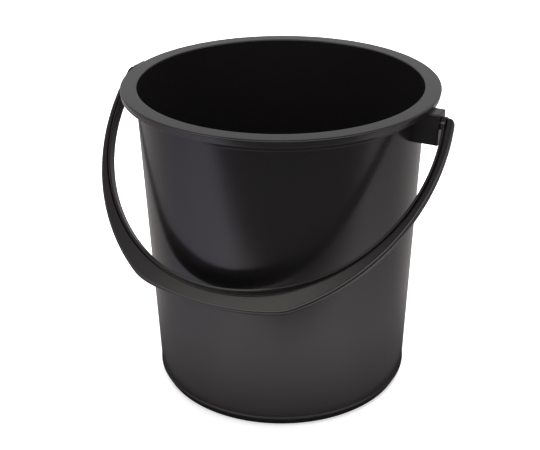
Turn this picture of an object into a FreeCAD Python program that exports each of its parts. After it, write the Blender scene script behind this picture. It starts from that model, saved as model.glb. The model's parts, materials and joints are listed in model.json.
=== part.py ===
import FreeCAD, Part
import math
import os
import Sketcher

# A moulded bucket with a swinging bail. Its frame: +Z up, the origin on the floor under the middle of the
# base, X along the line the bail swings about, and the bail at rest leaning forward, towards -Y.
# Millimetres and degrees. "Drop" means down from the rim's top face.
driving = {
    # bucket wall, floor and foot ring
    "height": 283, "wallTopRadius": 127.5, "wallBottomRadius": 117.6, "wallThick": 1.8,
    "footHeight": 6.2, "footRadius": 115, "footThick": 2.4, "floorTop": 11, "floorThick": 2.2,
    "floorRound": 6,
    # rim: flat flange, outer lip with draft, and the thicker collar below
    "rimRadius": 140.9, "rimThick": 2.4, "lipHeight": 6.6, "lipThick": 2, "lipDraft": 1.6, "rimRound": 1.4,
    "mouthRound": 1, "collarRadius": 129.8, "collarHeight": 13.6, "edgeRound": 0.7,
    # ears
    "earReach": 149.3, "earHalfWidth": 8.5, "earTopDrop": 4.4, "earBottomDrop": 31.5, "earRoot": 126,
    "earHollowRoot": 130.2, "earPlate": 2.8, "earHollowHalf": 6.4, "earHollowDrop": 7.5, "earRound": 0.8,
    # swing axis and the pegs on it
    "pivotDrop": 14, "pegRadius": 5, "pegClearance": 0.05, "pegHeadRadius": 5.9, "pegTipRadius": 4.3,
    "pegTip": 142.8, "pegHeadStart": 144.4, "pegHeadEnd": 146.2, "pegSlotHalf": 0.8, "pegSlotEnd": 148.5,
    "shoulderRadius": 5.8, "shoulderFace": 149.7,
    # bail: the arms hang down from the axis and meet in the grip
    "bailInner": 153.5, "bailArcDrop": 29, "armEnd": 4.4, "armOuterRadius": 188.8, "armOuterOffset": 26.6,
    "armOuterDrop": 27,
    "gripHalf": 70, "gripCornerDrop": 189.25, "gripRadius": 269, "armEndRound": 4.2, "gripCornerRound": 2,
    "flangeThick": 1.8, "flangeHalf": 4.8, "flangeGripHalf": 13, "flangeTaperFrom": 50, "flangeTaperTo": 116,
    "flangeCut": 18, "neckWidth": 4.2, "neckHalf": 2, "webHalf": 3.8, "webRound": 1.4, "restTilt": 44.8,
}


def arm_reach(radius, drop):
    # How far along X a circle of the hoop is at the arm's end, its centre lying drop below the axis.
    rise = driving["armEnd"] + drop
    return round(math.sqrt(radius * radius - rise * rise), 4)


arc_drop = driving["bailArcDrop"]
driving["armEndInner"] = arm_reach(driving["bailInner"], arc_drop)
driving["armEndBack"] = arm_reach(driving["bailInner"] + driving["flangeThick"], arc_drop)
driving["armEndNeck"] = arm_reach(driving["bailInner"] + driving["neckWidth"], arc_drop)
driving["armEndOuter"] = arm_reach(driving["armOuterRadius"], driving["armOuterDrop"]) - driving["armOuterOffset"]

doc = FreeCAD.newDocument("bucket")
sheet = doc.addObject("Spreadsheet::Sheet", "sizes")
for row, (name, value) in enumerate(driving.items(), 1):
    sheet.set(f"A{row}", name)
    sheet.set(f"B{row}", str(value))
    sheet.setAlias(f"B{row}", name)
doc.recompute()


def size(*names):
    # A sum of driving sizes, "-name" taking one away: its expression, and its value now.
    text = ""
    value = 0.0
    for name in names:
        sign = "-" if name.startswith("-") else "+"
        alias = name.lstrip("-")
        text += f" {sign} sizes.{alias}"
        value += float(f"{sign}1") * driving[alias]
    return text.lstrip(" +"), value


ZERO = ("", 0.0)


def plane(body, role):
    return next(part for part in body.Origin.OriginFeatures if part.Role == role)


def new_body(name):
    body = doc.addObject("PartDesign::Body", name)
    body.Label = name
    return body


def new_sketch(body, name, role):
    sketch = body.newObject("Sketcher::SketchObject", name)
    sketch.AttachmentSupport = (plane(body, role), "")
    sketch.MapMode = "FlatFace"
    return sketch


def bind(sketch, constraint, expression):
    sketch.setExpression(f"Constraints[{sketch.addConstraint(constraint)}]", expression)


def arc_between(first, last, radius, side):
    # The short arc from first to last, on the left (side 1) or right (side -1) of its chord. It is stored
    # running anticlockwise, so an arc on the right of its chord starts at first, and one on the left at last.
    chord = last - first
    half = chord.Length / 2
    depth = math.sqrt(radius * radius - half * half)
    centre = (first + last) / 2 - FreeCAD.Vector(-chord.y, chord.x, 0) / chord.Length * depth * side
    start, end = (last, first) if side > 0 else (first, last)
    angles = [math.atan2(point.y - centre.y, point.x - centre.x) for point in (start, end)]
    return Part.ArcOfCircle(Part.Circle(centre, FreeCAD.Vector(0, 0, 1), radius), *angles)


def outline(sketch, corners):
    # A closed loop. Each corner is x, y, and for an arc to the next corner also a radius and a side.
    points = [FreeCAD.Vector(corner[0][1], corner[1][1], 0) for corner in corners]
    ends = []
    for corner, first, last in zip(corners, points, points[1:] + points[:1]):
        if len(corner) == 2:
            sketch.addGeometry(Part.LineSegment(first, last))
            ends.append((1, 2))
        else:
            sketch.addGeometry(arc_between(first, last, corner[2][1], corner[3]))
            ends.append((2, 1) if corner[3] > 0 else (1, 2))
    for edge, corner in enumerate(corners):
        before = edge - 1 if edge else len(corners) - 1
        first = ends[edge][0]
        sketch.addConstraint(Sketcher.Constraint("Coincident", before, ends[before][1], edge, first))
        for kind, axis, (text, value) in (("DistanceX", -2, corner[0]), ("DistanceY", -1, corner[1])):
            if text:
                bind(sketch, Sketcher.Constraint(kind, -1, 1, edge, first, value), text)
            else:
                sketch.addConstraint(Sketcher.Constraint("PointOnObject", edge, first, axis))
        if len(corner) > 2:
            bind(sketch, Sketcher.Constraint("Radius", edge, corner[2][1]), corner[2][0])


def rectangle(sketch, left, right, bottom, top):
    outline(sketch, [(left, bottom), (right, bottom), (right, top), (left, top)])


def pad(body, name, sketch, half):
    feature = body.newObject("PartDesign::Pad", name)
    feature.Profile = sketch
    feature.Midplane = True
    feature.setExpression("Length", f"2 * sizes.{half}")
    doc.recompute()
    return feature


def pocket(body, name, sketch, half):
    feature = body.newObject("PartDesign::Pocket", name)
    feature.Profile = sketch
    feature.Midplane = True
    feature.setExpression("Length", f"2 * sizes.{half}")
    doc.recompute()
    return feature


def revolve(body, name, sketch, axis):
    feature = body.newObject("PartDesign::Revolution", name)
    feature.Profile = sketch
    feature.ReferenceAxis = (sketch, [axis])
    feature.Angle = 360
    doc.recompute()
    return feature


def mirrored(body, name, features):
    feature = body.newObject("PartDesign::Mirrored", name)
    feature.Originals = features
    feature.MirrorPlane = (plane(body, "YZ_Plane"), [""])
    body.Tip = feature
    doc.recompute()
    return feature


def fillet(body, name, radius, wanted):
    # Rounds the edges of the body's last feature for which wanted(edge) holds.
    base = body.Tip
    edges = [f"Edge{i}" for i, edge in enumerate(base.Shape.Edges, 1) if wanted(edge)]
    if not edges:
        raise RuntimeError(f"{name} finds no edge")
    feature = body.newObject("PartDesign::Fillet", name)
    feature.Base = (base, edges)
    feature.setExpression("Radius", f"sizes.{radius}")
    doc.recompute()
    return feature


def ring_at(radius, height):
    # An edge test: a full circle about the Z axis at this radius and height.
    def wanted(edge):
        box = edge.BoundBox
        reach = max(box.XMax, -box.XMin)
        return abs(reach - radius) < 0.02 and abs(box.ZMin - height) < 0.02 and abs(box.ZMax - height) < 0.02

    return wanted


def bucket_shell():
    body = new_body("bucket_shell")

    # Half the section, revolved: foot ring, wall, collar, lip, flange and floor.
    section = new_sketch(body, "wallSection", "XZ_Plane")
    rim_under = size("height", "-rimThick")
    lip_under = size("height", "-lipHeight")
    collar_under = size("height", "-collarHeight")
    floor_top = size("floorTop")
    floor_under = size("floorTop", "-floorThick")
    outline(section, [
        (size("footRadius", "-footThick"), ZERO),
        (size("footRadius"), ZERO),
        (size("footRadius"), size("footHeight")),
        (size("wallBottomRadius"), size("footHeight")),
        (size("wallTopRadius", "-edgeRound"), collar_under),
        (size("collarRadius"), collar_under),
        (size("collarRadius"), rim_under),
        (size("rimRadius", "-lipThick"), rim_under),
        (size("rimRadius", "-lipThick", "-lipDraft"), lip_under),
        (size("rimRadius", "-lipDraft"), lip_under),
        (size("rimRadius"), size("height")),
        (size("wallTopRadius", "-wallThick"), size("height")),
        (size("wallBottomRadius", "-wallThick"), floor_top),
        (ZERO, floor_top),
        (ZERO, floor_under),
        (size("footRadius", "-footThick"), floor_under),
    ])
    revolve(body, "wall", section, "V_Axis")
    top = driving["height"]
    fillet(body, "rimEdge", "rimRound", ring_at(driving["rimRadius"], top))
    mouth = driving["wallTopRadius"] - driving["wallThick"]
    fillet(body, "mouthEdge", "mouthRound", ring_at(mouth, top))
    floor_edge = driving["wallBottomRadius"] - driving["wallThick"]
    fillet(body, "floorCorner", "floorRound", ring_at(floor_edge, driving["floorTop"]))
    collar_edge = ring_at(driving["collarRadius"], top - driving["collarHeight"])
    wall_edge = ring_at(driving["wallBottomRadius"], driving["footHeight"])
    foot_edge = ring_at(driving["footRadius"], 0)
    fillet(body, "outerEdges", "edgeRound", lambda edge: collar_edge(edge) or wall_edge(edge) or foot_edge(edge))

    # One ear: a box from the wall to its outer plate, hollow and open below, with the peg's hole.
    block = new_sketch(body, "earBlock", "XZ_Plane")
    ear_top = size("height", "-earTopDrop")
    ear_bottom = size("height", "-earBottomDrop")
    rectangle(block, size("earRoot"), size("earReach"), ear_bottom, ear_top)
    ear = pad(body, "ear", block, "earHalfWidth")
    hollow = new_sketch(body, "earHollow", "XZ_Plane")
    hollow_top = size("height", "-earHollowDrop")
    rectangle(hollow, size("earHollowRoot"), size("earReach", "-earPlate"), ear_bottom, hollow_top)
    opening = pocket(body, "earOpening", hollow, "earHollowHalf")
    hole = new_sketch(body, "pegHole", "YZ_Plane")
    hole.addGeometry(Part.Circle(
        FreeCAD.Vector(0, top - driving["pivotDrop"], 0),
        FreeCAD.Vector(0, 0, 1),
        driving["pegRadius"] + driving["pegClearance"],
    ))
    hole.addConstraint(Sketcher.Constraint("PointOnObject", 0, 3, -2))
    height_text, height_value = size("height", "-pivotDrop")
    bind(hole, Sketcher.Constraint("DistanceY", -1, 1, 0, 3, height_value), height_text)
    bore_text, bore_value = size("pegRadius", "pegClearance")
    bind(hole, Sketcher.Constraint("Radius", 0, bore_value), bore_text)
    text = size("earReach", "-earPlate", "-pegClearance")[0]
    hole.setExpression("AttachmentOffset.Base.z", text)
    bore = body.newObject("PartDesign::Pocket", "pegBore")
    bore.Profile = hole
    bore.Reversed = True
    bore.setExpression("Length", "2 * sizes.earPlate")
    doc.recompute()
    mirrored(body, "otherEar", [ear, opening, bore])

    reach = driving["earReach"]
    half = driving["earHalfWidth"]
    low = top - driving["earBottomDrop"]

    def ear_corner(edge):
        # The outer plate's two upright corners and the long top edges of each ear.
        box = edge.BoundBox
        outward = abs(max(box.XMax, -box.XMin) - reach) < 0.01
        sideways = abs(abs(box.YMin) - half) < 0.01 and box.YLength < 0.01
        upright = outward and sideways and box.XLength < 0.01 and box.ZLength > 10
        high = abs(box.ZMin - top + driving["earTopDrop"]) < 0.01 and box.ZLength < 0.01
        return upright or (high and outward and box.XLength < 0.01)

    fillet(body, "earEdges", "earRound", ear_corner)
    return body


def bail_loop(sketch, end, *start):
    # The space between the bail's inner line, moved out by start, and its outer line; end is where the
    # inner line meets the arm's end.
    inner = size("bailInner", *start)
    arm_end = size("armEnd")
    corner_y = size("-gripCornerDrop")
    arm = size("armOuterRadius")
    outline(sketch, [
        (size(end), arm_end),
        (size("armEndOuter"), arm_end, arm, 1),
        (size("gripHalf"), corner_y, size("gripRadius"), 1),
        (size("-gripHalf"), corner_y, arm, 1),
        (size("-armEndOuter"), arm_end),
        (size(f"-{end}"), arm_end, inner, -1),
        (ZERO, size("-bailArcDrop", "-bailInner", *[f"-{name}" for name in start]), inner, -1),
    ])


def bail_handle():
    body = new_body("bail_handle")

    neck = new_sketch(body, "neckOutline", "XY_Plane")
    bail_loop(neck, "armEndInner")
    pad(body, "neck", neck, "neckHalf")
    web = new_sketch(body, "webOutline", "XY_Plane")
    bail_loop(web, "armEndNeck", "neckWidth")
    pad(body, "web", web, "webHalf")

    # The flange follows the inner line, and stands further out of the web's face along the grip.
    strip = new_sketch(body, "flangeOutline", "XY_Plane")
    inner = size("bailInner")
    back = size("bailInner", "flangeThick")
    arm_end = size("armEnd")
    outline(strip, [
        (size("armEndInner"), arm_end),
        (size("armEndBack"), arm_end, back, 1),
        (ZERO, size("-bailArcDrop", "-bailInner", "-flangeThick"), back, 1),
        (size("-armEndBack"), arm_end),
        (size("-armEndInner"), arm_end, inner, -1),
        (ZERO, size("-bailArcDrop", "-bailInner"), inner, -1),
    ])
    pad(body, "flange", strip, "flangeCut")
    far, rear = size("armOuterRadius"), size("-armOuterRadius")
    front = new_sketch(body, "flangeFront", "XZ_Plane")
    low, high, top = size("flangeHalf"), size("flangeGripHalf"), size("flangeCut")
    outline(front, [
        (rear, low), (size("-flangeTaperTo"), low), (size("-flangeTaperFrom"), high),
        (size("flangeTaperFrom"), high), (size("flangeTaperTo"), low), (far, low), (far, top), (rear, top),
    ])
    pocket(body, "flangeFrontCut", front, "armOuterRadius")
    behind = new_sketch(body, "flangeBack", "XZ_Plane")
    rectangle(behind, rear, far, size("-flangeCut"), size("-flangeHalf"))
    pocket(body, "flangeBackCut", behind, "armOuterRadius")

    outer = driving["armEndOuter"]
    end = driving["armEnd"]

    def end_corner(edge):
        box = edge.BoundBox
        return (abs(max(box.XMax, -box.XMin) - outer) < 0.01 and abs(box.YMin - end) < 0.01
                and box.XLength < 0.01 and box.YLength < 0.01)

    def grip_corner(edge):
        box = edge.BoundBox
        return (abs(max(box.XMax, -box.XMin) - driving["gripHalf"]) < 0.01 and box.XLength < 0.01
                and abs(box.YMin + driving["gripCornerDrop"]) < 0.01 and box.YLength < 0.01)

    def web_rim(edge):
        # The web's outer edges, on both its faces.
        box = edge.BoundBox
        if abs(abs(box.ZMin) - driving["webHalf"]) > 0.01 or box.ZLength > 0.01:
            return False
        middle = edge.valueAt((edge.FirstParameter + edge.LastParameter) / 2)
        if abs(box.YMin - end) < 0.01 and box.YLength < 0.01:
            return False
        from_arc = math.hypot(middle.x, middle.y + driving["bailArcDrop"])
        return from_arc > driving["bailInner"] + driving["neckWidth"] + 0.5

    fillet(body, "endCorners", "armEndRound", end_corner)
    fillet(body, "gripCorners", "gripCornerRound", grip_corner)
    fillet(body, "webEdges", "webRound", web_rim)

    # A peg at each end points inwards: shoulder, running surface and split snap head.
    peg = new_sketch(body, "pegSection", "XY_Plane")
    outline(peg, [
        (size("pegTip"), ZERO),
        (size("bailInner"), ZERO),
        (size("bailInner"), size("shoulderRadius")),
        (size("shoulderFace"), size("shoulderRadius")),
        (size("shoulderFace"), size("pegRadius")),
        (size("pegHeadEnd"), size("pegRadius")),
        (size("pegHeadEnd"), size("pegHeadRadius")),
        (size("pegHeadStart"), size("pegHeadRadius")),
        (size("pegTip"), size("pegTipRadius")),
    ])
    turned = revolve(body, "peg", peg, "H_Axis")
    slit = new_sketch(body, "slotOutline", "XY_Plane")
    rectangle(slit, size("pegTip", "-pegSlotHalf"), size("pegSlotEnd"), size("-pegSlotHalf"), size("pegSlotHalf"))
    slot = pocket(body, "pegSlot", slit, "pegHeadRadius")
    mirrored(body, "otherPeg", [turned, slot])

    # Turned up from the sketch plane to hang down, then leaned forward to its rest.
    body.Placement = FreeCAD.Placement(FreeCAD.Vector(), FreeCAD.Rotation(FreeCAD.Vector(1, 0, 0), 45))
    body.setExpression("Placement.Base.z", "sizes.height - sizes.pivotDrop")
    body.setExpression("Placement.Rotation.Angle", "90 - sizes.restTilt")
    doc.recompute()
    return body


def export(parts):
    for item in doc.Objects:
        if {"Invalid", "Error"} & set(item.State):
            raise RuntimeError(f"{item.Name} failed: {item.State}")
    os.makedirs("parts", exist_ok=True)
    for part in parts:
        shape = part.Shape
        if shape.isNull() or not shape.isValid():
            raise RuntimeError(f"{part.Label} has no valid shape")
        shape.exportStep(f"parts/{part.Label}.step")
        box = shape.BoundBox
        low = [round(v, 2) for v in (box.XMin, box.YMin, box.ZMin)]
        high = [round(v, 2) for v in (box.XMax, box.YMax, box.ZMax)]
        print(part.Label, "solids", len(shape.Solids), "volume", round(shape.Volume), low, high)


export([bucket_shell(), bail_handle()])
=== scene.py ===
# Florist bucket: a black moulded bucket with two ears and a swinging bail, on a white studio table.
import json
import math

import bmesh
import bpy
from mathutils import Matrix, Vector


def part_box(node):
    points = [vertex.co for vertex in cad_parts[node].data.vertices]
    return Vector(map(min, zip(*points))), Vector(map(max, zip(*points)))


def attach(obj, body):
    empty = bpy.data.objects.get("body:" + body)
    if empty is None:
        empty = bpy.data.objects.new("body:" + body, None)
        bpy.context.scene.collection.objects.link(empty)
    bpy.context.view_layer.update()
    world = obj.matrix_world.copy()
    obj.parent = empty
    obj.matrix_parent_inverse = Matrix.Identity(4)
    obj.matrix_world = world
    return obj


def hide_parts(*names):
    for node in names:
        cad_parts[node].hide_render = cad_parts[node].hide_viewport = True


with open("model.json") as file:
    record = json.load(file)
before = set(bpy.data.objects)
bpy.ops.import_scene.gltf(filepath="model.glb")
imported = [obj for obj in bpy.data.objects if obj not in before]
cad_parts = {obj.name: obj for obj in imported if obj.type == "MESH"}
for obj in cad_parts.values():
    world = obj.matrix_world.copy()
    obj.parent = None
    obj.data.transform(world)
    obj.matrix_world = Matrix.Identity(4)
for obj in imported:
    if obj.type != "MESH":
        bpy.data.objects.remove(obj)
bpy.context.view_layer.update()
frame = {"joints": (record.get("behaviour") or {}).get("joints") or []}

scene = bpy.context.scene
mm = 0.001
fineWeld = 0.002 * mm
bevelSteps = 4
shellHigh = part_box("bucket_shell")[1]
swingAxis = Vector(frame["joints"][0]["pos_m"])


# small helpers for meshes

def roundedPath(corners, steps):
    # corners are (x, y, radius); the first and last stay as they are
    path = [Vector(corners[0][:2])]
    for before, corner, after in zip(corners, corners[1:], corners[2:]):
        path += roundedCorner(before, corner, after, steps)
    return path + [Vector(corners[-1][:2])]


def roundedCorner(before, corner, after, steps):
    point, radius = Vector(corner[:2]), corner[2]
    back = (Vector(before[:2]) - point).normalized()
    ahead = (Vector(after[:2]) - point).normalized()
    if radius <= 0:
        return [point]
    half = back.angle(ahead) / 2
    reach = radius / math.tan(half)
    centre = point + (back + ahead).normalized() * (radius / math.sin(half))
    start, end = point + back * reach - centre, point + ahead * reach - centre
    turn = start.angle_signed(end)
    return [centre + Matrix.Rotation(-turn * step / steps, 2) @ start for step in range(steps + 1)]


def roundedLoop(corners, steps):
    loop = []
    for index, corner in enumerate(corners):
        loop += roundedCorner(corners[index - 1], corner, corners[(index + 1) % len(corners)], steps)
    return loop


def pieceFrom(name, points, faces=(), edges=()):
    mesh = bpy.data.meshes.new(name)
    mesh.from_pydata([tuple(point) for point in points], edges, faces)
    piece = bpy.data.objects.new(name, mesh)
    scene.collection.objects.link(piece)
    return piece


def tidyMesh(piece, weld=0.01 * mm):
    # closes seams and poles, then turns every face outwards
    work = bmesh.new()
    work.from_mesh(piece.data)
    bmesh.ops.remove_doubles(work, verts=work.verts, dist=weld)
    bmesh.ops.dissolve_degenerate(work, edges=work.edges, dist=weld)
    bmesh.ops.recalc_face_normals(work, faces=work.faces)
    work.to_mesh(piece.data)
    work.free()


def settle(piece):
    # turns the modifiers' result into the piece's own mesh
    graph = bpy.context.evaluated_depsgraph_get()
    mesh = bpy.data.meshes.new_from_object(piece.evaluated_get(graph), depsgraph=graph)
    piece.modifiers.clear()
    piece.data = mesh


def smoothFaces(piece, sharpAngle):
    for face in piece.data.polygons:
        face.use_smooth = True
    piece.data.set_sharp_from_angle(angle=math.radians(sharpAngle))
    weighted = piece.modifiers.new("weighted normals", "WEIGHTED_NORMAL")
    weighted.keep_sharp = True
    settle(piece)


def discard(piece):
    bpy.data.objects.remove(piece, do_unlink=True)


def boxPiece(name, low, high, bevel=0, isRounded=None):
    # low and high are in millimetres; isRounded picks an edge by its middle
    work = bmesh.new()
    bmesh.ops.create_cube(work, size=1)
    low, high = Vector(low) * mm, Vector(high) * mm
    for vert in work.verts:
        vert.co = [low[axis] if vert.co[axis] < 0 else high[axis] for axis in range(3)]
    if bevel:
        chosen = [edge for edge in work.edges if isRounded((edge.verts[0].co + edge.verts[1].co) / 2 / mm)]
        bmesh.ops.bevel(work, geom=chosen, offset=bevel * mm, segments=bevelSteps, profile=0.5,
                        affect="EDGES", clamp_overlap=True)
    piece = pieceFrom(name, [])
    work.to_mesh(piece.data)
    work.free()
    return piece


def cut(piece, *cutters):
    for cutter in cutters:
        knife = piece.modifiers.new("cut", "BOOLEAN")
        knife.operation = "DIFFERENCE"
        knife.solver = "EXACT"
        knife.object = cutter
        settle(piece)
        discard(cutter)


def lathe(name, profile, segments, place):
    # profile is (distance along the axis, radius); place turns (along, y, z) into a point
    points, faces = [], []
    count = len(profile)
    for turn in range(segments):
        angle = 2 * math.pi * turn / segments
        across, up = math.cos(angle), math.sin(angle)
        points += [place(along, radius * across, radius * up) for along, radius in profile]
    for turn in range(segments):
        here, there = turn * count, (turn + 1) % segments * count
        for step in range(count - 1):
            faces.append((here + step, here + step + 1, there + step + 1, there + step))
    piece = pieceFrom(name, points, faces)
    tidyMesh(piece)
    return piece


# shader graphs: a Wire is a node's output that can be used in sums

class Wire:
    def __init__(self, graph, socket):
        self.graph, self.socket = graph, socket

    def work(self, operation, first, second):
        return self.graph.node("ShaderNodeMath", {"operation": operation}, [first, second])

    def __add__(self, other):
        return self.work("ADD", self, other)

    def __radd__(self, other):
        return self.work("ADD", other, self)

    def __sub__(self, other):
        return self.work("SUBTRACT", self, other)

    def __rsub__(self, other):
        return self.work("SUBTRACT", other, self)

    def __mul__(self, other):
        return self.work("MULTIPLY", self, other)

    def __rmul__(self, other):
        return self.work("MULTIPLY", other, self)

    def __truediv__(self, other):
        return self.work("DIVIDE", self, other)


def grey(shade):
    return (shade,) * 3 + (1,)


class Graph:
    def __init__(self, tree):
        self.tree = tree
        tree.nodes.clear()

    def node(self, kind, settings=None, values=(), output=0):
        # a list of wires goes into one socket that joins them
        made = self.tree.nodes.new(kind)
        for key, value in (settings or {}).items():
            if key == "stops":
                ramp = made.color_ramp
                for stop in value[1:-1]:
                    ramp.elements.new(stop[0])
                for element, (place, shade) in zip(ramp.elements, value):
                    element.position, element.color = place, shade
            else:
                setattr(made, key, value)
        pairs = values.items() if isinstance(values, dict) else enumerate(values)
        for key, value in pairs:
            for part in value if isinstance(value, list) else [value]:
                if isinstance(part, Wire):
                    self.tree.links.new(part.socket, made.inputs[key])
                else:
                    made.inputs[key].default_value = part
        return Wire(self, made.outputs[output]) if len(made.outputs) else made

    def mix(self, share, first, second, blend="MIX"):
        # the colour inputs and the colour result of a Mix node are its sockets 6, 7 and 2
        settings = {"data_type": "RGBA", "blend_type": blend}
        return self.node("ShaderNodeMix", settings, {0: share, 6: first, 7: second}, 2)

    def ramp(self, share, stops):
        return self.node("ShaderNodeValToRGB", {"stops": [(at, grey(shade)) for at, shade in stops]}, [share])

    def ease(self, value, start, end, low=0, high=1):
        # low up to start, high from end on, and a smooth change between them
        settings = {"interpolation_type": "SMOOTHSTEP"}
        return self.node("ShaderNodeMapRange", settings, [value, start, end, low, high])


def noise(graph, place, scale, detail):
    return graph.node("ShaderNodeTexNoise", {}, {"Vector": place, "Scale": scale, "Detail": detail})


def mouldedPlastic(name, look):
    material = bpy.data.materials.new(name)
    material.use_nodes = True
    graph = Graph(material.node_tree)
    place = graph.node("ShaderNodeTexCoord", output="Object")
    drift = noise(graph, place, look["driftScale"], 3)
    stretched = graph.node("ShaderNodeMapping", {}, {"Vector": place, "Scale": look["flowStretch"]})
    flow = noise(graph, stretched, look["flowScale"], 4)
    grain = noise(graph, place, look["grainScale"], 2)
    ripple = noise(graph, place, look["rippleScale"], 1)
    colour = graph.mix(drift, look["dark"] + (1,), look["pale"] + (1,))
    rough = look["rough"] + (drift - 0.5) * look["roughDrift"] + (flow - 0.5) * look["roughFlow"]
    height = grain * look["grainHeight"] + ripple * look["rippleHeight"] + flow * look["flowHeight"]
    normal = graph.node("ShaderNodeBump", {}, {"Strength": 1, "Distance": mm, "Height": height})
    shader = graph.node("ShaderNodeBsdfPrincipled", {}, {
        "Base Color": colour, "Roughness": rough, "IOR": look["ior"], "Normal": normal})
    graph.node("ShaderNodeOutputMaterial", {}, {"Surface": shader})
    return material


# the camera

camera = {
    "target": (-0.0004, -0.0002, 0.1375),
    "azimuth": 27, "elevation": 26.48, "distance": 1.0223, "roll": -0.277,
    "lens": 72.83, "sensor": 36, "shiftX": -0.0204, "shiftY": 0.0087, "near": 0.05, "far": 50,
}


def turned(x, y, z):
    # from the camera's own azimuth to the bucket's axes
    return Matrix.Rotation(math.radians(camera["azimuth"]), 3, "Z") @ Vector((x, y, z))


def makeCamera():
    tilt, roll = math.radians(camera["elevation"]), math.radians(camera["roll"])
    ahead = turned(0, math.cos(tilt), -math.sin(tilt))
    flatRight, flatUp = turned(1, 0, 0), turned(0, math.sin(tilt), math.cos(tilt))
    right = flatRight * math.cos(roll) + flatUp * math.sin(roll)
    up = flatUp * math.cos(roll) - flatRight * math.sin(roll)
    lens = bpy.data.cameras.new("camera")
    lens.lens, lens.sensor_width = camera["lens"], camera["sensor"]
    lens.shift_x, lens.shift_y = camera["shiftX"], camera["shiftY"]
    lens.clip_start, lens.clip_end = camera["near"], camera["far"]
    eye = bpy.data.objects.new("camera", lens)
    scene.collection.objects.link(eye)
    eye.matrix_world = Matrix.Translation(Vector(camera["target"]) - ahead * camera["distance"]) @ Matrix(
        (right, up, -ahead)).transposed().to_4x4()
    scene.camera = eye


makeCamera()
scene.view_settings.view_transform = "Standard"
print("camera ready")


# the studio: a white table, lamps, and what the gloss sees of the room

studio = {
    # tableWhite is the paint; nearGlow and farGlow set the table's painted glow, dimmer by the bucket
    "tableSize": 30, "tableWhite": 0.78, "nearGlow": 0.55, "farGlow": 1, "glowFrom": 0.14, "glowTo": 0.4,
    "tableDrop": -0.0004, "glossDrop": -0.0003,
    "wallFoot": 0.118, "contactShadeReach": 0.13, "frontGlow": 1.13,
    # how bright the table looks in the gloss: from behind the bucket round to its front
    "roundStops": [(0, 0.44), (0.27, 0.4), (0.44, 0.36), (0.5, 0.38), (0.61, 0.5), (0.71, 0.64), (0.81, 0.79),
                   (0.91, 1), (1, 1)],
    # and from the bucket's foot outwards: a painted contact shadow, dim by the foot
    "contactShadeStops": [(0, 0.02), (0.07, 0.1), (0.12, 0.3), (0.27, 0.46), (0.46, 0.66), (0.77, 0.92), (1, 1)],
    # where the lit table ends, in front
    "edgeFar": -0.375, "edgeNear": -0.225, "edgeSlant": 0.175, "edgeBend": 0.125, "beyond": 0.05,
    # the light is cooler on the left
    "coolFrom": -0.12, "coolTo": -0.36, "coolBack": 0.1, "coolFront": -0.12,
    "warm": (1.05, 0.985, 0.99, 1), "cool": (0.97, 0.94, 1.13, 1),
    # how bright the room looks from straight down to straight up, behind the bucket and in front of it
    "backStops": [(0, 0.3), (0.5, 0.44), (0.73, 0.56), (0.88, 0.2), (1, 0.16)],
    "frontStops": [(0, 0.3), (0.5, 0.6), (0.58, 1.2), (0.66, 2.5), (0.76, 2.5), (0.82, 0.24), (1, 0.12)],
    "frontFrom": -0.15, "frontTo": 0.55,
    "lampAim": (0, 0, 0.15),
}
lamps = [
    {"name": "overhead", "at": (0, 0.1, 1.6), "size": 1.6, "watts": 52, "tint": (1, 1, 1), "inGloss": False},
    {"name": "left soft box", "at": (-0.9, -0.54, 1.25), "size": 0.36, "watts": 0.68, "tint": (1, 0.96, 0.92),
     "inGloss": True},
]


def stageCard(name, size, height, material):
    # the cards' own axes follow the camera's azimuth
    reach = size / 2
    corners = [(-reach, -reach, 0), (reach, -reach, 0), (reach, reach, 0), (-reach, reach, 0)]
    card = pieceFrom(name, corners, [(0, 1, 2, 3)])
    card.location.z = height
    card.rotation_euler.z = math.radians(camera["azimuth"])
    card.data.materials.append(material)
    return card


def stageMaterial(name):
    material = bpy.data.materials.new(name)
    material.use_nodes = True
    return material, Graph(material.node_tree)


def tableWhite():
    # white paint plus a painted glow: the table emits light itself, dimmer by the bucket and pure white away
    # from it
    material, graph = stageMaterial("table white")
    paint = graph.node("ShaderNodeBsdfDiffuse", {}, {"Color": grey(studio["tableWhite"])})
    place = graph.node("ShaderNodeTexCoord", output="Object")
    away = graph.node("ShaderNodeVectorMath", {"operation": "LENGTH"}, [place], "Value")
    share = graph.ease(away, studio["glowFrom"], studio["glowTo"], studio["nearGlow"], studio["farGlow"])
    # painted glow: the table emits light, less near the bucket so the shade round the foot shows
    paintedGlow = graph.node("ShaderNodeEmission", {}, {"Color": graph.mix(share, grey(0), grey(1)), "Strength": 1})
    both = graph.node("ShaderNodeAddShader", {}, [paint, paintedGlow])
    graph.node("ShaderNodeOutputMaterial", {}, {"Surface": both})
    return material


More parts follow.
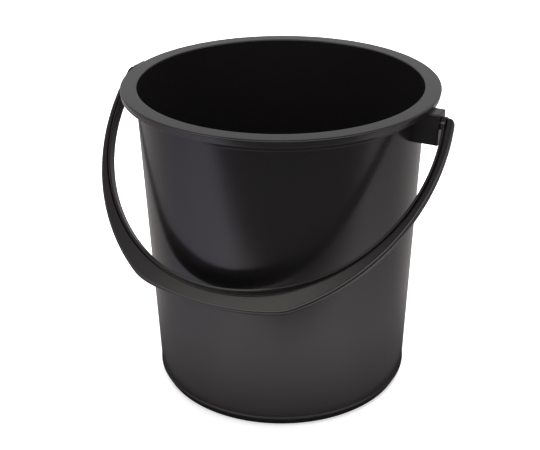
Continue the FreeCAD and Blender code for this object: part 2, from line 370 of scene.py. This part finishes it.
def tableInGloss():
    # the table as the glossy plastic sees it, a card that glows for the gloss alone: painted light bright in
    # front, painted shade dim by the foot, ending at its front edge
    material, graph = stageMaterial("table in the gloss")
    place = graph.node("ShaderNodeTexCoord", output="Object")
    x = graph.node("ShaderNodeSeparateXYZ", {}, [place], 0)
    y = graph.node("ShaderNodeSeparateXYZ", {}, [place], 1)
    away = graph.node("ShaderNodeVectorMath", {"operation": "LENGTH"}, [place], "Value")
    around = graph.ramp(0.5 - y / away * 0.5, studio["roundStops"])
    # painted contact shadow: the card's glow is dimmed near the foot, where the bucket shades the table
    paintedContactShade = graph.ramp((away - studio["wallFoot"]) / studio["contactShadeReach"], studio["contactShadeStops"])
    lit = graph.mix(1, around, paintedContactShade, "MULTIPLY")
    aside = graph.node("ShaderNodeMath", {"operation": "ABSOLUTE"}, [x])
    line = y - x * studio["edgeSlant"] + aside * studio["edgeBend"]
    edge = graph.ease(line, studio["edgeFar"], studio["edgeNear"])
    ended = graph.mix(edge, grey(studio["beyond"] / studio["frontGlow"]), lit)
    leftward = graph.ease(x, studio["coolFrom"], studio["coolTo"])
    coolness = leftward * graph.ease(y, studio["coolBack"], studio["coolFront"])
    colour = graph.mix(1, ended, graph.mix(coolness, studio["warm"], studio["cool"]), "MULTIPLY")
    glow = graph.node("ShaderNodeEmission", {}, {"Color": colour, "Strength": studio["frontGlow"]})
    graph.node("ShaderNodeOutputMaterial", {}, {"Surface": glow})
    return material


def makeLamp(lamp):
    light = bpy.data.lights.new(lamp["name"], "AREA")
    light.shape = "SQUARE"
    light.size = lamp["size"]
    light.energy, light.color = lamp["watts"], lamp["tint"]
    holder = bpy.data.objects.new(lamp["name"], light)
    scene.collection.objects.link(holder)
    holder.location = turned(*lamp["at"])
    aim = Vector(studio["lampAim"]) - holder.location
    holder.rotation_euler = aim.to_track_quat("-Z", "Y").to_euler()
    holder.visible_glossy = lamp["inGloss"]


def makeRoom():
    # pure white to the camera and grey to the rest; the bright band low in front shows only in the gloss
    room = bpy.data.worlds.new("room")
    scene.world = room
    room.use_nodes = True
    graph = Graph(room.node_tree)
    toward = graph.node("ShaderNodeTexCoord", output="Generated")
    rise = graph.node("ShaderNodeSeparateXYZ", {}, {"Vector": toward}, 2) * 0.5 + 0.5
    frontward = turned(0, -1, 0)
    facing = graph.node("ShaderNodeVectorMath", {"operation": "DOT_PRODUCT"}, [toward, frontward], "Value")
    nearness = graph.ease(facing, studio["frontFrom"], studio["frontTo"])
    behind = graph.ramp(rise, studio["backStops"])
    around = graph.mix(nearness, behind, graph.ramp(rise, studio["frontStops"]))
    shade = graph.mix(graph.node("ShaderNodeLightPath", output="Is Glossy Ray"), behind, around)
    colour = graph.mix(graph.node("ShaderNodeLightPath", output="Is Camera Ray"), shade, grey(1))
    sky = graph.node("ShaderNodeBackground", {}, {"Color": colour, "Strength": 1})
    graph.node("ShaderNodeOutputWorld", {}, {"Surface": sky})


def makeStudio():
    table = stageCard("table", studio["tableSize"], studio["tableDrop"], tableWhite())
    table.visible_glossy = False
    gloss = stageCard("table in the gloss", studio["tableSize"], studio["glossDrop"], tableInGloss())
    gloss.visible_camera = gloss.visible_diffuse = gloss.visible_shadow = gloss.visible_transmission = False
    for lamp in lamps:
        makeLamp(lamp)
    makeRoom()


makeStudio()
print("studio ready")


# finishes

bucketPlastic = mouldedPlastic("bucket plastic", {
    "dark": (0.0082, 0.0072, 0.0075), "pale": (0.01, 0.009, 0.0094), "ior": 1.49,
    "rough": 0.2, "roughDrift": 0.06, "roughFlow": 0.05,
    "driftScale": 9, "flowScale": 60, "flowStretch": (1, 1, 0.12),
    "grainScale": 1600, "grainHeight": 0.0015, "rippleScale": 70, "rippleHeight": 0.008, "flowHeight": 0.001,
})
bailPlastic = mouldedPlastic("bail plastic", {
    "dark": (0.0074, 0.0062, 0.0062), "pale": (0.009, 0.0076, 0.0074), "ior": 1.49,
    "rough": 0.21, "roughDrift": 0.06, "roughFlow": 0.05,
    "driftScale": 14, "flowScale": 70, "flowStretch": (1, 1, 1),
    "grainScale": 1800, "grainHeight": 0.003, "rippleScale": 160, "rippleHeight": 0.005, "flowHeight": 0.001,
})
print("finishes ready")


# the bucket: a section turned round the axis, and an ear on each side

bucket = {
    "rimRadius": shellHigh.y / mm, "height": shellHigh.z / mm, "flatRadius": 60,
    "footInner": 112.6, "footOuter": 115, "footHeight": 6.2, "floorUnder": 8.8, "floorTop": 11,
    "bead": 0.5, "beadHeight": 1.4, "beadSlope": 1.6,
    "wallFoot": 117.6, "innerFoot": 115.8, "floorRound": 6,
    "collarRadius": 129.8, "collarUnder": 269.4, "wallAtCollar": 126.8,
    "rimUnder": 280.6, "lipInner": 138.9, "lipToe": 137.3, "lipUnder": 276.4, "lipOuter": 139.3,
    "mouth": 125.7,
    "segments": 240, "roundSteps": 4, "weld": 0.01, "sharpAngle": 38,
}
ear = {
    "rootLow": 125.3, "rootHigh": 127.2, "reach": 149.3, "half": 8.5, "low": 251.5, "high": 278.6,
    "round": 1.2,
    "hollowRoot": 130.2, "hollowReach": 146.5, "hollowHalf": 6.4, "hollowTop": 275.5, "hollowRound": 0.8,
    "holeRadius": 5.05, "holeHeight": swingAxis.z / mm, "holeSegments": 48,
    "overrun": 3, "near": 1, "count": 2,  # overrun: how far the cutters run past the ear's walls
}


def bucketSection():
    # from the axis under the floor, up the outside, over the rim and down the inside
    b = bucket
    beadOuter, beadTop = b["wallFoot"] + b["bead"], b["footHeight"] + b["beadHeight"]
    corners = [
        (0, b["floorUnder"], 0), (b["flatRadius"], b["floorUnder"], 0),
        (b["footInner"], b["floorUnder"], 0.5),
        (b["footInner"], 0, 0.5), (b["footOuter"], 0, 0.7), (b["footOuter"], b["footHeight"], 0.4),
        (beadOuter, b["footHeight"], 0.6), (beadOuter, beadTop, 0.5),
        (b["wallFoot"], beadTop + b["beadSlope"], 0.8), (b["wallAtCollar"], b["collarUnder"], 0.4),
        (b["collarRadius"], b["collarUnder"], 0.7), (b["collarRadius"], b["rimUnder"], 0.8),
        (b["lipInner"], b["rimUnder"], 0.5), (b["lipToe"], b["lipUnder"], 0.4),
        (b["lipOuter"], b["lipUnder"], 0.5),
        (b["rimRadius"], b["height"], 1.4), (b["mouth"], b["height"], 1),
        (b["innerFoot"], b["floorTop"], b["floorRound"]), (b["flatRadius"], b["floorTop"], 0),
        (0, b["floorTop"], 0),
    ]
    path = roundedPath(corners, b["roundSteps"])
    points = [((point.x - b["rimRadius"]) * mm, -point.y * mm, 0) for point in path]
    edges = [(step, step + 1) for step in range(len(points) - 1)]
    return pieceFrom("bucket section", points, edges=edges)


def earPiece():
    e = ear
    nearRoot, nearBottom = e["rootLow"] + e["near"], e["low"] + e["near"]
    shape = boxPiece("ear", (e["rootLow"], -e["half"], e["low"]), (e["reach"], e["half"], e["high"]),
                     e["round"], lambda middle: middle.x > nearRoot and middle.z > nearBottom)
    for vert in shape.data.vertices:
        if vert.co.x < nearRoot * mm and vert.co.z > nearBottom * mm:
            vert.co.x = e["rootHigh"] * mm
    hollowBottom = e["low"] - e["overrun"]
    hollow = boxPiece("ear hollow", (e["hollowRoot"], -e["hollowHalf"], hollowBottom),
                      (e["hollowReach"], e["hollowHalf"], e["hollowTop"]), e["hollowRound"],
                      lambda middle: middle.z > hollowBottom + e["near"])
    holeStart, holeEnd = e["hollowReach"] - e["overrun"], e["reach"] + e["overrun"]
    profile = [(holeStart, 0), (holeStart, e["holeRadius"]), (holeEnd, e["holeRadius"]), (holeEnd, 0)]
    hole = lathe("ear hole", profile, e["holeSegments"],
                 lambda along, y, z: (along * mm, y * mm, (z + e["holeHeight"]) * mm))
    cut(shape, hollow, hole)
    return shape


def bucketTree():
    tree = bpy.data.node_groups.new("turned bucket", "GeometryNodeTree")
    face = tree.interface
    face.new_socket("Section", in_out="INPUT", socket_type="NodeSocketGeometry")
    kinds = {"Rim Radius": "Float", "Segments": "Int", "Weld": "Float", "Ear": "Object", "Ear Count": "Int",
             "Finish": "Material"}
    for name, kind in kinds.items():
        face.new_socket(name, in_out="INPUT", socket_type="NodeSocket" + kind)
    face.new_socket("Bucket", in_out="OUTPUT", socket_type="NodeSocketGeometry")
    graph = Graph(tree)

    def given(name):
        return graph.node("NodeGroupInput", output=name)

    line = graph.node("GeometryNodeMeshToCurve", {}, [given("Section")])
    ring = graph.node("GeometryNodeCurvePrimitiveCircle", {}, {
        "Resolution": given("Segments"), "Radius": given("Rim Radius")})
    body = graph.node("GeometryNodeCurveToMesh", {}, {"Curve": ring, "Profile Curve": line})
    closed = graph.node("GeometryNodeMergeByDistance", {}, {"Geometry": body, "Distance": given("Weld")})
    earShape = graph.node("GeometryNodeObjectInfo", {}, {"Object": given("Ear")}, "Geometry")
    posts = graph.node("GeometryNodePoints", {}, {"Count": given("Ear Count")})
    order = graph.node("GeometryNodeInputIndex")
    share = graph.node("ShaderNodeMath", {"operation": "DIVIDE"}, [order, given("Ear Count")])
    turn = graph.node("ShaderNodeCombineXYZ", {}, {"Z": share * (2 * math.pi)})
    placed = graph.node("GeometryNodeInstanceOnPoints", {}, {
        "Points": posts, "Instance": earShape, "Rotation": turn})
    both = graph.node("GeometryNodeJoinGeometry", {}, {0: [placed, closed]})
    real = graph.node("GeometryNodeRealizeInstances", {}, [both])
    dressed = graph.node("GeometryNodeSetMaterial", {}, {"Geometry": real, "Material": given("Finish")})
    graph.node("NodeGroupOutput", {}, [dressed])
    return tree


def runTree(piece, tree, values):
    modifier = piece.modifiers.new(tree.name, "NODES")
    modifier.node_group = tree
    for item in tree.interface.items_tree:
        if item.item_type == "SOCKET" and item.name in values:
            modifier[item.identifier] = values[item.name]
    settle(piece)


def makeBucket():
    piece = bucketSection()
    piece.name = "bucket"
    earShape = earPiece()
    runTree(piece, bucketTree(), {
        "Rim Radius": bucket["rimRadius"] * mm, "Segments": bucket["segments"], "Weld": bucket["weld"] * mm,
        "Ear": earShape, "Ear Count": ear["count"], "Finish": bucketPlastic})
    discard(earShape)
    tidyMesh(piece, fineWeld)
    smoothFaces(piece, bucket["sharpAngle"])
    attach(piece, "shell")
    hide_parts("bucket_shell")
    return piece


makeBucket()
print("bucket ready")


# the bail: a flanged strip that follows the hoop, deeper where the hand holds it

bail = {
    "lean": 44.8, "inner": 153.5, "arcDrop": 29, "endAngle": 12.03,
    "endAlong": 5, "endDepth": 4,
    "armOuter": 188.8, "armCentre": 26.6, "armDrop": 27, "gripRadius": 269, "gripCentre": 70.5,
    "cornerBlend": 2.5,
    "flangeThick": 1.8, "flangeHalf": 4.8, "gripFlange": 12.6, "taperFrom": 44, "taperTo": 120,
    "neckHalf": 0.9, "webFrom": 3.6, "webHalf": 3.8, "webLeast": 0.6, "outerShare": 0.6,
    "innerShare": 0.3,
    "flangeRound": 0.5, "neckRound": 0.4, "webInnerRound": 0.5, "webRound": 2.8, "edgeSoft": 0.35,
    "arcSteps": 190, "endSteps": 8, "roundSteps": 6, "sharpAngle": 40,
}
peg = {
    "tip": 142.8, "tipRadius": 4.3, "headStart": 144.4, "headEnd": 146.2, "headRadius": 5.9, "radius": 5,
    "shoulderFrom": 149.7, "shoulderTo": 153.5, "shoulderRadius": 5.8, "slotEnd": 148.5, "slotHalf": 0.8,
    "slotOverrun": 2, "slotReach": 9, "segments": 48, "roundSteps": 3,
}
bailTilt = math.radians(90 - bail["lean"])


def onBail(x, y, z):
    # from the flat hoop's own axes to where the bail rests
    return swingAxis + Vector((x, y * math.cos(bailTilt) - z * math.sin(bailTilt),
                               y * math.sin(bailTilt) + z * math.cos(bailTilt))) * mm


def hoopDepth(direction):
    # how deep the strip is along a ray from the middle of the hoop's arc
    def rayTo(centreX, centreY, radius):
        along = direction.x * centreX + direction.y * centreY
        return along + math.sqrt(along * along - centreX ** 2 - centreY ** 2 + radius ** 2)

    armAcross, armUp = math.copysign(bail["armCentre"], -direction.x), bail["arcDrop"] - bail["armDrop"]
    arm = rayTo(armAcross, armUp, bail["armOuter"])
    depth = arm
    if direction.y < 0:
        grip = rayTo(0, bail["gripCentre"] + bail["arcDrop"], bail["gripRadius"])
        blend = max(bail["cornerBlend"] - abs(arm - grip), 0)
        depth = min(arm, grip) - blend * blend / (4 * bail["cornerBlend"])
    return depth - bail["inner"]


def flangeFront(x):
    # the flange stands further forward along the grip
    share = (bail["taperTo"] - abs(x)) / (bail["taperTo"] - bail["taperFrom"])
    share = min(max(share, 0), 1)
    return bail["flangeHalf"] + (bail["gripFlange"] - bail["flangeHalf"]) * share * share * (3 - 2 * share)


def bailSection(depth, front, inset=0):
    # (distance out from the inner line, distance across) round the strip, its front side first
    b = bail
    web = max(depth - inset, b["webFrom"] + inset + b["webLeast"])
    room = web - b["webFrom"] - inset
    outerRound = min(b["webRound"], room * b["outerShare"])
    innerRound = min(b["webInnerRound"], room * b["innerShare"])

    def side(flange):
        return [
            (inset, flange - inset, b["flangeRound"]),
            (b["flangeThick"] - inset, flange - inset, b["flangeRound"]),
            (b["flangeThick"] - inset, b["neckHalf"] - inset, b["neckRound"]),
            (b["webFrom"] + inset, b["neckHalf"] - inset, b["neckRound"]),
            (b["webFrom"] + inset, b["webHalf"] - inset, innerRound),
            (web, b["webHalf"] - inset, outerRound),
        ]

    behind = [(out, -across, radius) for out, across, radius in reversed(side(b["flangeHalf"]))]
    return roundedLoop(side(front) + behind, b["roundSteps"])


def bailStations():
    # (angle on the inner line, depth, inset) from one arm's end to the other's
    b = bail
    top = math.radians(b["endAngle"])
    curl = b["endAlong"] / b["inner"]
    angles = [top, top - b["edgeSoft"] / b["inner"]]
    angles += [top - curl * (1 - math.cos(math.pi / 2 * step / b["endSteps"]))
               for step in range(2, b["endSteps"] + 1)]
    low = angles[-1]
    angles += [low - (math.pi + 2 * low) * step / b["arcSteps"] for step in range(1, b["arcSteps"])]
    angles += [-math.pi - angle for angle in reversed(angles[:b["endSteps"] + 1])]
    stations = []
    for place, angle in enumerate(angles):
        outward = Vector((math.cos(angle), math.sin(angle)))
        past = max(angle - low, -math.pi - low - angle, 0) / curl
        depth = hoopDepth(outward) - b["endDepth"] * (1 - math.sqrt(max(1 - past * past, 0)))
        stations.append((outward, depth, b["edgeSoft"] if place in (0, len(angles) - 1) else 0))
    return stations


def makeBail():
    points, faces = [], []
    for outward, depth, inset in bailStations():
        section = bailSection(depth, flangeFront(outward.x * bail["inner"]), inset)
        for out in section:
            place = outward * (bail["inner"] + out.x) - Vector((0, bail["arcDrop"]))
            points.append(onBail(place.x, place.y, out.y))
    count = len(section)
    rings = len(points) // count
    for here in range(0, (rings - 1) * count, count):
        for step in range(count):
            ahead = (step + 1) % count
            faces.append((here + step, here + ahead, here + count + ahead, here + count + step))
    lastRing = (rings - 1) * count
    faces += [tuple(range(count)), tuple(range(lastRing, lastRing + count))]
    piece = pieceFrom("bail", points, faces)
    tidyMesh(piece, fineWeld)
    pegs = [makePeg(side) for side in (1, -1)]
    work = bmesh.new()
    for part in [piece] + pegs:
        work.from_mesh(part.data)
    work.to_mesh(piece.data)
    work.free()
    for part in pegs:
        discard(part)
    piece.data.materials.clear()
    piece.data.materials.append(bailPlastic)
    smoothFaces(piece, bail["sharpAngle"])
    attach(piece, "bail")
    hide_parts("bail_handle")
    return piece


def makePeg(side):
    p = peg
    profile = roundedPath([
        (p["tip"], 0, 0), (p["tip"], p["tipRadius"], 0.4), (p["headStart"], p["headRadius"], 0.4),
        (p["headEnd"], p["headRadius"], 0.3), (p["headEnd"], p["radius"], 0.2),
        (p["shoulderFrom"], p["radius"], 0.3),
        (p["shoulderFrom"], p["shoulderRadius"], 0.4), (p["shoulderTo"], p["shoulderRadius"], 0.5),
        (p["shoulderTo"], 0, 0)], p["roundSteps"])
    pin = lathe("peg", [tuple(point) for point in profile], p["segments"],
                lambda along, y, z: onBail(side * along, y, z))
    slot = boxPiece("peg slot", (p["tip"] - p["slotOverrun"], -p["slotHalf"], -p["slotReach"]),
                    (p["slotEnd"], p["slotHalf"], p["slotReach"]))
    for vert in slot.data.vertices:
        vert.co = onBail(side * vert.co.x / mm, vert.co.y / mm, vert.co.z / mm)
    tidyMesh(slot)
    cut(pin, slot)
    return pin


makeBail()
print("bail ready")
